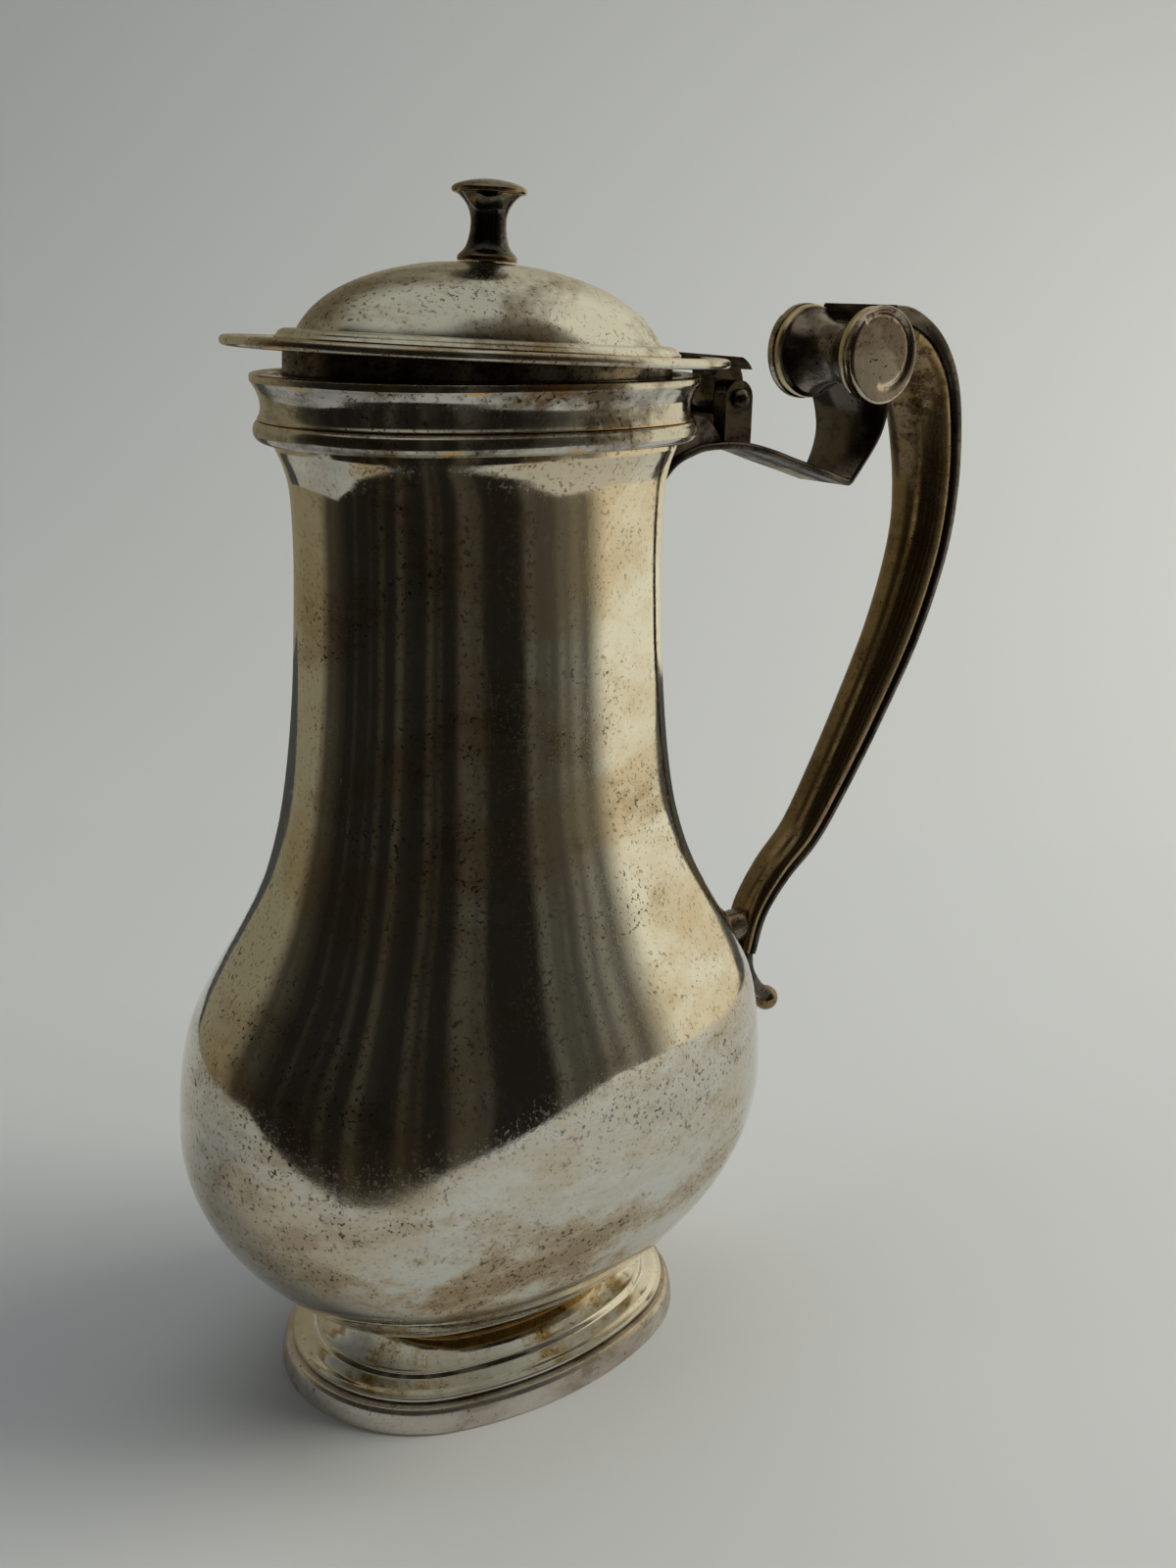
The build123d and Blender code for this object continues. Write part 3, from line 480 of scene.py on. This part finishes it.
# Handle bar: D-shaped channel with a flat strip along its back
bar = {"line": ((92.4, 197.0), (98.2, 196.4), (105.4, 192.8), (110.8, 186.4), (114.0, 177.0),
                (115.8, 164.0), (114.8, 151.0), (109.0, 133.5), (99.7, 115.5), (91.6, 101.6),
                (84.2, 90.6), (76.3, 83.3), (70.3, 75.2), (67.9, 66.0)),
       "widths": (20.0, 13.0, 7.6), "thicks": (11.0, 9.4, 3.8), "strips": (3.4, 1.5), "shoulder": 0.34,
       "widthEase": 0.8, "thickEase": 1.6, "stripEase": 0.7, "handRound": 0.85, "sideShare": 0.3,
       "corner": ((0.12, 0.3), (0.5, 0.0)), "seam": 0.06, "stripEdge": 0.2, "underRound": 0.2,
       "backRound": 0.4, "backDip": 0.01, "handSteps": 16, "steps": 130}


# Sections carried along a line in the XZ plane; each is asked for its share of the length
def sweepSection(line, section):
    along = [0.0]
    for before, after in zip(line, line[1:]):
        along.append(along[-1] + (after - before).length)
    rings, last = [], len(line) - 1
    for i, point in enumerate(line):
        tangent = (line[min(i + 1, last)] - line[max(i - 1, 0)]).normalized()
        outward = Vector((-tangent.z, 0, tangent.x))
        rings.append([point + Vector((0, 1, 0)) * x + outward * y for x, y in section(along[i] / along[-1])])
    return rings


def barSize(at):
    upper = min(1.0, at / bar["shoulder"])
    lower = max(0.0, (at - bar["shoulder"]) / (1 - bar["shoulder"]))
    width = bar["widths"][0] + (bar["widths"][1] - bar["widths"][0]) * upper ** bar["widthEase"]
    width += (bar["widths"][2] - bar["widths"][1]) * lower
    thick = bar["thicks"][0] + (bar["thicks"][1] - bar["thicks"][0]) * upper
    thick += (bar["thicks"][2] - bar["thicks"][1]) * lower ** bar["thickEase"]
    strip = bar["strips"][0] + (bar["strips"][1] - bar["strips"][0]) * at ** bar["stripEase"]
    return width / 2, thick / 2, strip


def gripSection(at):
    half, deep, strip = barSize(at)
    flat = deep - strip - bar["seam"]
    waist = flat - bar["sideShare"] * deep
    corner = [(half - inward, flat - down) for inward, down in bar["corner"]]
    points = [(-x, y) for x, y in corner] + list(reversed(corner))
    for k in range(bar["handSteps"] + 1):  # rounded hand side
        angle = math.pi * k / bar["handSteps"]
        points.append((half * math.cos(angle), waist - (waist + deep) * math.sin(angle) ** bar["handRound"]))
    return list(reversed(points))


def stripSection(at):
    half, deep, strip = barSize(at)
    edge, low = half + bar["stripEdge"], deep - strip
    under, back = bar["underRound"], bar["backRound"]
    return [(-edge, low + under), (-edge, deep - back), (-edge + back, deep), (0, deep - bar["backDip"]),
            (edge - back, deep), (edge, deep - back), (edge, low + under), (edge - under, low),
            (-edge + under, low)]


barLine = smoothCurve([(x, 0, z) for x, z in bar["line"]], bar["steps"])
settle(skin("grip_channel", sweepSection(barLine, gripSection), gripMetal), "handle_grip", "jug")
settle(skin("grip_back_strip", sweepSection(barLine, stripSection), darkMetal), "handle_back_strip", "jug")

# Strap: level run, V bend, flared rise to the volute
strap = {"line": ((35.2, 170.7), (38.6, 173.8), (42.5, 175.4), (47.0, 176.3), (55.7, 176.1), (63.0, 174.5),
                  (70.0, 172.3), (78.0, 169.9), (84.3, 167.9), (86.0, 167.6), (87.4, 169.0), (90.0, 172.9),
                  (91.6, 176.4), (92.1, 179.4), (91.9, 183.0), (90.8, 186.6)),
         "thick": 1.4, "half": 7.5, "bend": 0.64, "flare": 3.6, "waist": 1.2, "edge": 0.3,
         "steps": 90}


# Half width stays level to the bend, then draws in and opens out like a fan
def strapSection(at):
    risen = max(0.0, (at - strap["bend"]) / (1 - strap["bend"]))
    half = strap["half"] + strap["flare"] * risen ** 2 * (3 - 2 * risen)
    half -= strap["waist"] * math.sin(math.pi * risen)
    deep, edge = strap["thick"] / 2, strap["edge"]
    return [(-half + edge, -deep), (-half, -deep + edge), (-half, deep - edge), (-half + edge, deep),
            (half - edge, deep), (half, deep - edge), (half, -deep + edge), (half - edge, -deep)]


strapLine = smoothCurve([(x, 0, z) for x, z in strap["line"]], strap["steps"])
settle(skin("strap_sheet", sweepSection(strapLine, strapSection), darkMetal), "handle_strap", "jug")

# Tail: tapering curl that ends in a ball
tail = {"line": ((67.9, 65.94), (68.5, 62.4), (69.8, 59.6), (72.4, 56.2), (75.8, 53.2)),
        "halfWidths": (3.8, 2.5), "halfThicks": (1.9, 1.6), "squareness": 0.6, "ball": (77.2, 51.6),
        "radius": 2.8, "steps": 24, "roundSteps": 20, "ballSides": 32}


def tailSection(at):
    half, deep = (size[0] + (size[1] - size[0]) * at for size in (tail["halfWidths"], tail["halfThicks"]))
    points = []
    for k in range(tail["roundSteps"]):
        angle = -2 * math.pi * k / tail["roundSteps"]
        across, out = math.cos(angle), math.sin(angle)
        points.append((half * math.copysign(abs(across) ** tail["squareness"], across),
                       deep * math.copysign(abs(out) ** tail["squareness"], out)))
    return points


tailLine = smoothCurve([(x, 0, z) for x, z in tail["line"]], tail["steps"])
tailPiece = skin("tail_curl", sweepSection(tailLine, tailSection), darkMetal)
ballAngles = [math.pi * k / tail["roundSteps"] for k in range(tail["roundSteps"] + 1)]
ballLine = [(tail["radius"] * math.sin(angle), -tail["radius"] * math.cos(angle)) for angle in ballAngles]
ballPlace = Matrix.Translation((tail["ball"][0], 0, tail["ball"][1]))
ballPiece = turned("tail_ball", ballLine, gripMetal, ballPlace, tail["ballSides"])
ballPiece.parent = tailPiece
settle(tailPiece, "handle_tail", "jug")
print("handle and volute made")

# Small fittings keep their own solids and only take a finish
finishes = {"foot_collar": brassMetal, "hinge_bracket": fittingMetal, "hinge_pin": fittingMetal,
            "hinge_solder": solderMetal, "handle_lug": fittingMetal, "lug_pad": fittingMetal,
            "finial_washer": brassMetal, "finial_nut": brassMetal, "lid_leaf": fittingMetal}
for name, finish in finishes.items():
    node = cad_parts[name]
    node.data.materials.clear()
    node.data.materials.append(finish)

# Table top that curves up behind into a plain wall
studio = {"tone": "C3C5C3", "rough": 0.8, "front": -2.0, "depth": 1.7, "bend": 1.4, "wallTop": 2.6,
          "half": 2.6, "away": (0.616, 0.788, 0), "bendSteps": 16}
away = Vector(studio["away"]).normalized()
aside = Vector((away.y, -away.x, 0))
path = [(studio["front"], 0.0)]
for step in range(studio["bendSteps"] + 1):
    angle = math.pi / 2 * step / studio["bendSteps"]
    path.append((studio["depth"] - studio["bend"] * (1 - math.sin(angle)),
                 studio["bend"] * (1 - math.cos(angle))))
path.append((studio["depth"], studio["wallTop"]))
sheetPoints = [away * d + aside * s * studio["half"] + Vector((0, 0, h)) for d, h in path for s in (-1, 1)]
sheetFaces = [(2 * i, 2 * i + 1, 2 * i + 3, 2 * i + 2) for i in range(len(path) - 1)]
floorMesh = bpy.data.meshes.new("studio_sweep")
floorMesh.from_pydata(sheetPoints, [], sheetFaces)
floorMesh.polygons.foreach_set("use_smooth", [True] * len(floorMesh.polygons))
floorPaint = bpy.data.materials.new("painted_board")  # matt pale board
floorPaint.use_nodes = True
boardShader = floorPaint.node_tree.nodes["Principled BSDF"]
boardShader.inputs["Base Color"].default_value = toLinear(studio["tone"])
boardShader.inputs["Roughness"].default_value = studio["rough"]
floorMesh.materials.append(floorPaint)
floor = bpy.data.objects.new("studio_sweep", floorMesh)
bpy.context.scene.collection.objects.link(floor)
floor.visible_glossy = False

# The near part of the table, seen only in the metal: it ends 170 mm in front of the jug's middle
near = {"front": -0.17, "back": 0.6, "half": 0.5, "lift": 0.0003}
nearMesh = bpy.data.meshes.new("studio_table_edge")
corners = ((near["front"], -near["half"]), (near["front"], near["half"]), (near["back"], near["half"]),
           (near["back"], -near["half"]))
nearPoints = [away * d + aside * w + Vector((0, 0, near["lift"])) for d, w in corners]
nearMesh.from_pydata(nearPoints, [], [(3, 2, 1, 0)])
nearMesh.materials.append(floorPaint)
nearTable = bpy.data.objects.new("studio_table_edge", nearMesh)
bpy.context.scene.collection.objects.link(nearTable)
nearTable.visible_camera = nearTable.visible_diffuse = nearTable.visible_shadow = False

# Soft lamps: a tall window on the right, a weak one overhead and a weaker fill on the left
lampAim = Vector((0, 0, 0.1))
lamps = {"window": {"place": (1.25, -0.75, 0.85), "size": (1.0, 1.6), "watts": 36, "tint": "FFFBF2"},
         "top": {"place": (0.2, 0.35, 1.5), "size": (1.2, 1.0), "watts": 6, "tint": "F6FAFF"},
         "fill": {"place": (-1.35, 0.35, 0.7), "size": (0.7, 1.2), "watts": 1.5, "tint": "F4F6FA"}}
for name, spec in lamps.items():
    light = bpy.data.lights.new(name, "AREA")
    light.shape = "RECTANGLE"
    light.size, light.size_y = spec["size"]
    light.energy = spec["watts"]
    light.color = toLinear(spec["tint"])[:3]
    lamp = bpy.data.objects.new(name, light)
    lamp.location = spec["place"]
    lamp.rotation_euler = (lampAim - lamp.location).to_track_quat("-Z", "Y").to_euler()
    lamp.visible_glossy = False
    bpy.context.scene.collection.objects.link(lamp)

# Room seen only in the metal: a dark side with upright streaks towards the camera, a bright
# window side on the right, dim walls on the left and a pale ceiling
room = {"dark": "201D1A", "dim": "857D66", "bright": "F2EAD0", "ceiling": "BDBAAC", "plain": "66686A",
        "darkSide": (-0.629, -0.777, 0.0), "windowSide": (0.94, -0.34, 0.0)}
world = bpy.data.worlds.new("plain_room")
bpy.context.scene.world = world
world.use_nodes = True
sky = world.node_tree
sky.nodes.clear()
direction = addNode(sky, "ShaderNodeTexCoord").outputs["Generated"]
slope = addNode(sky, "ShaderNodeSeparateXYZ", None, {0: direction}).outputs[2]
level = addNode(sky, "ShaderNodeVectorMath", {"operation": "MULTIPLY", 1: (1, 1, 0)},
                {0: direction}).outputs[0]
level = addNode(sky, "ShaderNodeVectorMath", {"operation": "NORMALIZE"}, {0: level}).outputs[0]
sunny = addNode(sky, "ShaderNodeVectorMath", {"operation": "DOT_PRODUCT", 1: room["windowSide"]},
                {0: level}).outputs["Value"]
sunny = addNode(sky, "ShaderNodeMapRange", {"From Min": 0.1, "From Max": 0.8}, {"Value": sunny}).outputs[0]
walls = addNode(sky, "ShaderNodeMix",
                {"data_type": "RGBA", 6: toLinear(room["dim"]), 7: toLinear(room["bright"])},
                {0: sunny}).outputs[2]
darker = addNode(sky, "ShaderNodeVectorMath", {"operation": "DOT_PRODUCT", 1: room["darkSide"]},
                 {0: level}).outputs["Value"]
darker = addNode(sky, "ShaderNodeMapRange", {"From Min": -0.08, "From Max": 0.10},
                 {"Value": darker}).outputs[0]
streaks = addNode(sky, "ShaderNodeTexNoise", {"Scale": 3.2, "Detail": 4.0}, {"Vector": level}).outputs["Fac"]
streaks = addNode(sky, "ShaderNodeMapRange", {"From Min": 0.68, "From Max": 0.48, "To Min": 0.74},
                  {"Value": streaks}).outputs[0]
darker = addNode(sky, "ShaderNodeMath", {"operation": "MULTIPLY"}, {0: darker, 1: streaks}).outputs[0]
walls = addNode(sky, "ShaderNodeMix", {"data_type": "RGBA", 7: toLinear(room["dark"])},
                {0: darker, 6: walls}).outputs[2]
overhead = addNode(sky, "ShaderNodeMapRange", {"From Min": 0.66, "From Max": 0.88},
                   {"Value": slope}).outputs[0]
walls = addNode(sky, "ShaderNodeMix", {"data_type": "RGBA", 7: toLinear(room["ceiling"])},
                {0: overhead, 6: walls}).outputs[2]
mirrored = addNode(sky, "ShaderNodeLightPath").outputs["Is Glossy Ray"]
seen = addNode(sky, "ShaderNodeMix", {"data_type": "RGBA", 6: toLinear(room["plain"])},
               {0: mirrored, 7: walls}).outputs[2]
glow = addNode(sky, "ShaderNodeBackground", {"Strength": 1.0}, {"Color": seen}).outputs[0]
addNode(sky, "ShaderNodeOutputWorld", None, {"Surface": glow})

# Camera at the photograph's place: front left of the jug, level with the top of the dome
shot = {"yaw": -38.0, "pitch": 17.4, "roll": 1.2, "distance": 0.2955, "sideways": 0.0196, "height": 0.1159,
        "sensorMm": 36, "focalPixels": 1618, "pictureHeight": 1600}
yaw, pitch, roll = (math.radians(shot[k]) for k in ("yaw", "pitch", "roll"))
forward = Vector((-math.sin(yaw) * math.cos(pitch), math.cos(yaw) * math.cos(pitch), -math.sin(pitch)))
right = Vector((math.cos(yaw), math.sin(yaw), 0))
up = right.cross(forward)
rolledRight = right * math.cos(roll) + up * math.sin(roll)
rolledUp = -right * math.sin(roll) + up * math.cos(roll)
camera = bpy.data.objects.new("camera", bpy.data.cameras.new("camera"))
camera.data.lens = shot["sensorMm"] * shot["focalPixels"] / shot["pictureHeight"]
camera.data.sensor_width = shot["sensorMm"]
camera.data.clip_start = 0.01
target = Vector((0, 0, shot["height"])) + rolledRight * shot["sideways"]
spot = target - forward * shot["distance"]
camera.matrix_world = Matrix(((rolledRight.x, rolledUp.x, -forward.x, spot.x),
                              (rolledRight.y, rolledUp.y, -forward.y, spot.y),
                              (rolledRight.z, rolledUp.z, -forward.z, spot.z),
                              (0, 0, 0, 1)))
bpy.context.scene.collection.objects.link(camera)
bpy.context.scene.camera = camera
bpy.context.scene.view_settings.view_transform = "Standard"
print("studio and camera set")
